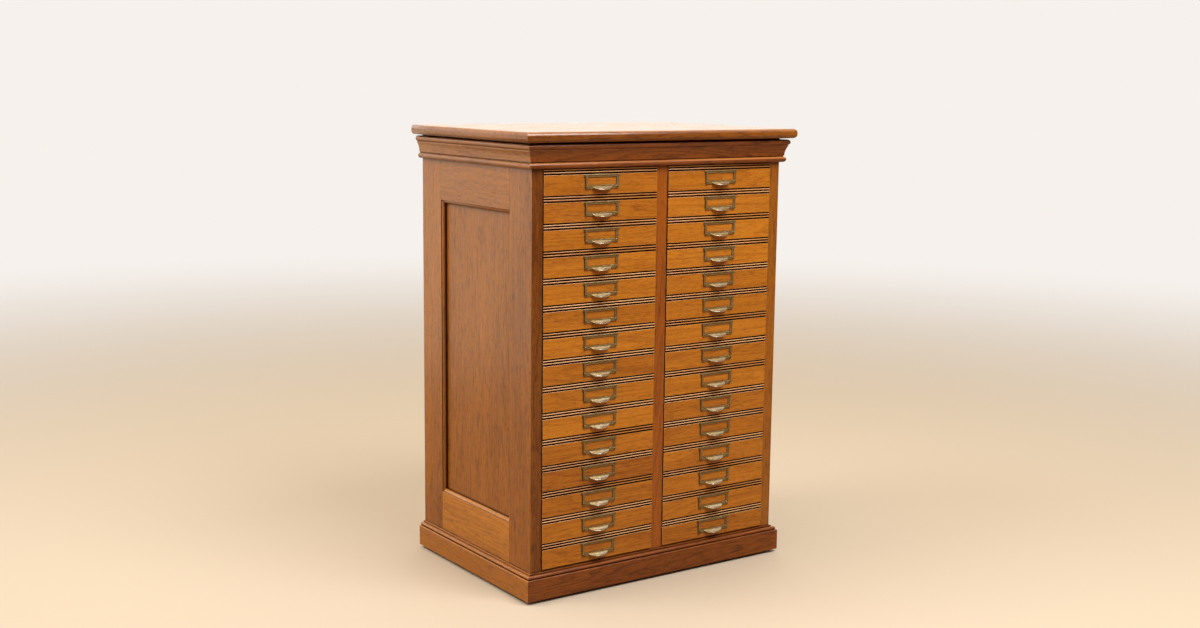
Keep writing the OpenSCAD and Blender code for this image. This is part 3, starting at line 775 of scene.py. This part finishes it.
# %% Nails
NAIL_R, NAIL_H = 2.1 * MM, 0.5 * MM
bm = bmesh.new()
for x in nail_x:
    for z in nail_z:
        turn_pin(bm, Vector((x, HOLE_DEEP - back_high.y, z)), NAIL_R, NAIL_H)
bmesh.ops.transform(bm, matrix=Matrix.Scale(-1, 4, (0, 1, 0)), verts=bm.verts[:])
bmesh.ops.recalc_face_normals(bm, faces=bm.faces[:])
shade(bm)
nails = close_mesh(bm, "back_nails")
set_piece("back_nails", nails, iron, "cabinet")
print("nails:", len(set(islands(nails))))

# %% Glides
GLIDE_ARRIS = 0.5 * MM
bm = open_mesh(nodes["floor_glides"].data)
ease(bm, GLIDE_ARRIS, steps=3)
shade(bm)
glides = close_mesh(bm, "floor_glides_steel")
set_piece("floor_glides_steel", glides, steel, "cabinet", "floor_glides")
print("glides:", len(glides.polygons), "faces")

# %% [markdown]
# ## Floor, light and camera
# The floor is a very wide disc in a pale tan. It is solid, so no light comes from below, and the
# lower boards pick up its colour, a darker tan than the camera sees. Further out, what the camera
# sees of it turns into a pale backdrop, and behind the cabinet so does what the varnish reflects.
# An even white surround would be simpler, but it would leave the mouldings flat. So the surround is
# bright behind the cabinet, whitest low down, and dim behind the viewer. A wide lamp overhead draws
# the highlights along the reeds and lips, and a weaker one fills the left side. The camera stands
# where the photograph was taken: its place, turn and lens were worked out from the cabinet's edges.

# %% Floor
PALE, PALE_MIRRORED = rgb(246, 241, 236), rgb(252, 234, 200)
FLOOR_SEEN, FLOOR_BOUNCE = rgb(204, 187, 166), rgb(150, 122, 90)
FLOOR_R = 60.0
SEEN_FADE, MIRROR_FADE, MIRROR_SIDE = (1.0, 5.5), (1.6, 2.9), (-0.1, 0.5)
bm = bmesh.new()
bmesh.ops.create_circle(bm, cap_ends=True, radius=FLOOR_R, segments=96)
floor = bpy.data.objects.new("floor", close_mesh(bm, "floor"))
bpy.context.scene.collection.objects.link(floor)
floor_look, tree, surface = new_material("floor_pale")
surface.inputs["Roughness"].default_value = 0.75
surface.inputs["Specular IOR Level"].default_value = 0.3
path = add(tree, "LightPath").outputs
in_camera, in_varnish = path["Is Camera Ray"], path["Is Glossy Ray"]
tree.links.new(blend_colour(tree, in_camera, FLOOR_BOUNCE, FLOOR_SEEN), surface.inputs["Base Color"])
spot = add(tree, "TexCoord").outputs["Object"]
far = add(tree, "VectorMath", {0: spot}, operation="LENGTH").outputs["Value"]
behind = reckon(tree, "DIVIDE", add(tree, "SeparateXYZ", {0: spot}).outputs["Y"], far)
pale_seen = reckon(tree, "MULTIPLY", in_camera, between(tree, far, *SEEN_FADE))
mirrored = reckon(tree, "MULTIPLY", between(tree, far, *MIRROR_FADE), between(tree, behind, *MIRROR_SIDE))
pale_mirrored = reckon(tree, "MULTIPLY", mirrored, in_varnish)
backdrop_colour = blend_colour(tree, in_varnish, PALE, PALE_MIRRORED)
backdrop = add(tree, "Emission", {"Color": backdrop_colour, "Strength": 1.0})
share = reckon(tree, "MAXIMUM", pale_seen, pale_mirrored)
mixed = add(tree, "MixShader", {0: share, 1: surface.outputs[0], 2: backdrop.outputs[0]})
tree.links.new(mixed.outputs[0], tree.nodes["Material Output"].inputs["Surface"])
floor.data.materials.append(floor_look)
print("floor: disc of", FLOOR_R, "m radius, tan near the cabinet and a pale backdrop beyond")

# %% Surround
WARM_LIGHT, WHITE_LIGHT = rgb(255, 242, 218), rgb(255, 250, 242)
LIGHT_RANGE, BACK_EXTRA = (-0.6, 0.7, 0.1, 1.0), 0.5
BACK_RANGE, LOW_RANGE = (0.3, 0.7), (0.45, 0.2)
world = bpy.data.worlds.new("studio")
world.use_nodes = True
tree = world.node_tree
sky = add(tree, "SeparateXYZ", {0: add(tree, "TexCoord").outputs["Generated"]}).outputs
toward_back = reckon(tree, "MULTIPLY_ADD", sky["X"], -0.25, sky["Y"])
toward_back = reckon(tree, "MULTIPLY_ADD", sky["Z"], 0.7, toward_back)
at_back, low_down = between(tree, sky["Y"], *BACK_RANGE), between(tree, sky["Z"], *LOW_RANGE)
low_back = reckon(tree, "MULTIPLY", at_back, low_down)
strength = between(tree, toward_back, *LIGHT_RANGE)
strength = reckon(tree, "MULTIPLY_ADD", low_back, BACK_EXTRA, strength)
seen = add(tree, "LightPath").outputs["Is Camera Ray"]
unseen = reckon(tree, "SUBTRACT", 1.0, seen)
surround = blend_colour(tree, low_back, WARM_LIGHT, WHITE_LIGHT)
background = tree.nodes["Background"].inputs
tree.links.new(blend_colour(tree, seen, surround, PALE), background["Color"])
tree.links.new(reckon(tree, "MULTIPLY_ADD", strength, unseen, seen), background["Strength"])
bpy.context.scene.world = world
print("surround: bright behind the cabinet, dim behind the viewer")

# %% Lamps
def soft_lamp(name, place, aim, size, watts):
    lamp = bpy.data.lights.new(name, "AREA")
    lamp.shape, lamp.size, lamp.energy = "SQUARE", size, watts
    holder = bpy.data.objects.new(name, lamp)
    bpy.context.scene.collection.objects.link(holder)
    holder.location = place
    holder.rotation_euler = (Vector(aim) - Vector(place)).to_track_quat("-Z", "Y").to_euler()
    return holder


lamps = [soft_lamp("overhead", (0.35, -1.6, 2.65), (0, -0.1, 0.45), size=1.6, watts=70),
         soft_lamp("side_fill", (-2.0, 0.6, 2.6), (-0.3, 0, 0.5), size=1.4, watts=42)]
print("lamps:", [lamp.name for lamp in lamps])

# %% Camera
CAMERA_PLACE = (-1.7273, -2.4903, 0.9744)
LENS_MM, SENSOR_MM = 45.276, 36
look_turn, look_down, look_roll = (math.radians(angle) for angle in (34.654, 8.948, 0.636))
camera = bpy.data.objects.new("camera", bpy.data.cameras.new("camera"))
bpy.context.scene.collection.objects.link(camera)
camera.matrix_world = (Matrix.Translation(CAMERA_PLACE)
                       @ Matrix.Rotation(-look_turn, 4, "Z")
                       @ Matrix.Rotation(math.pi / 2 - look_down, 4, "X")
                       @ Matrix.Rotation(look_roll, 4, "Z"))
camera.data.sensor_fit = "HORIZONTAL"
camera.data.sensor_width, camera.data.lens = SENSOR_MM, LENS_MM
bpy.context.scene.camera = camera
bpy.context.scene.view_settings.view_transform = "Standard"
print("camera at", [round(v, 3) for v in camera.location])
